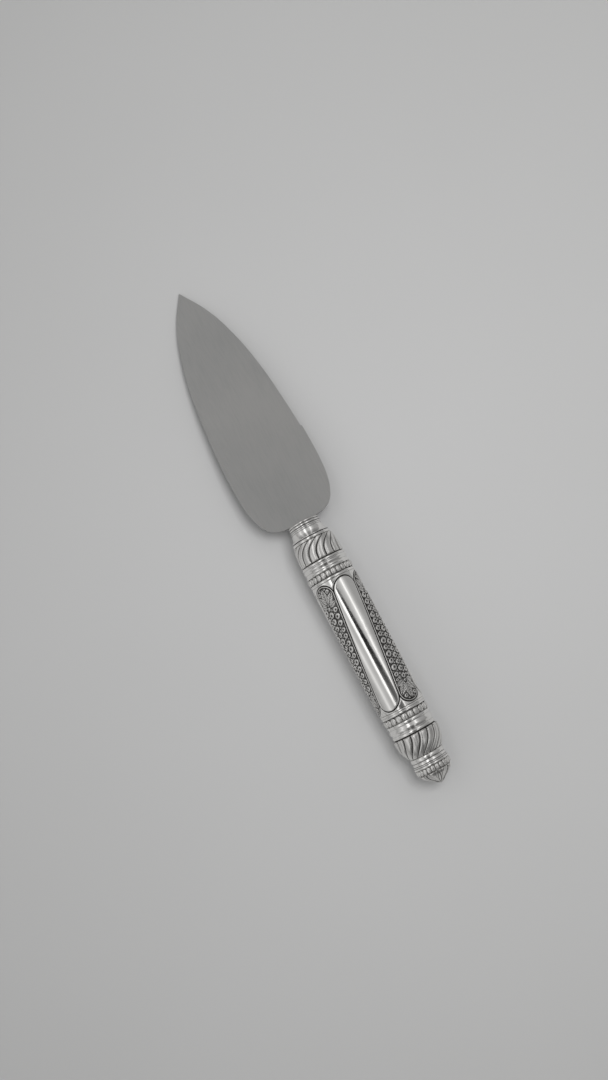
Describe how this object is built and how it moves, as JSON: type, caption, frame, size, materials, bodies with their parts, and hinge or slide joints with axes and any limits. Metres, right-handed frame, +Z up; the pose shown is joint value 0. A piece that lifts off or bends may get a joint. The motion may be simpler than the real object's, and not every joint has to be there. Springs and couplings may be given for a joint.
{
  "type": "cake server",
  "caption": "Cake server: a pointed leaf-shaped steel blade in a round ornate silver handle with swirled knops, bead rings, twisted panels and a bud finial.",
  "frame": {"origin": "centre of the footprint, on the surface that the server lies on", "axes": "+X along the handle's axis towards the blade's tip, +Z up from the surface, and the ground edge of the blade is on the -Y side"},
  "size_m": [0.2844, 0.047, 0.0244],
  "materials": {
    "blade_steel": "satin stainless steel, finely brushed",
    "bright_silver": "polished silver",
    "chased_silver": "polished silver with dark oxidised recesses",
    "filler_resin": "dark hard resin, hidden inside the handle"
  },
  "bodies": {
    "root": {"blade": "blade_steel", "mouth_plate": "bright_silver", "mouth_ring": "bright_silver", "neck_collar": "bright_silver", "neck_ring": "bright_silver", "neck_knop": "chased_silver", "neck_moulding": "bright_silver", "upper_beading": "chased_silver", "upper_fillet": "bright_silver", "body_sleeve": "chased_silver", "lower_fillet": "bright_silver", "lower_beading": "chased_silver", "lower_moulding": "bright_silver", "butt_knop": "chased_silver", "waist_ring": "bright_silver", "butt_collar": "bright_silver", "butt_beading": "chased_silver", "finial_bud": "chased_silver", "core_filler": "filler_resin"}
  },
  "joints": []
}
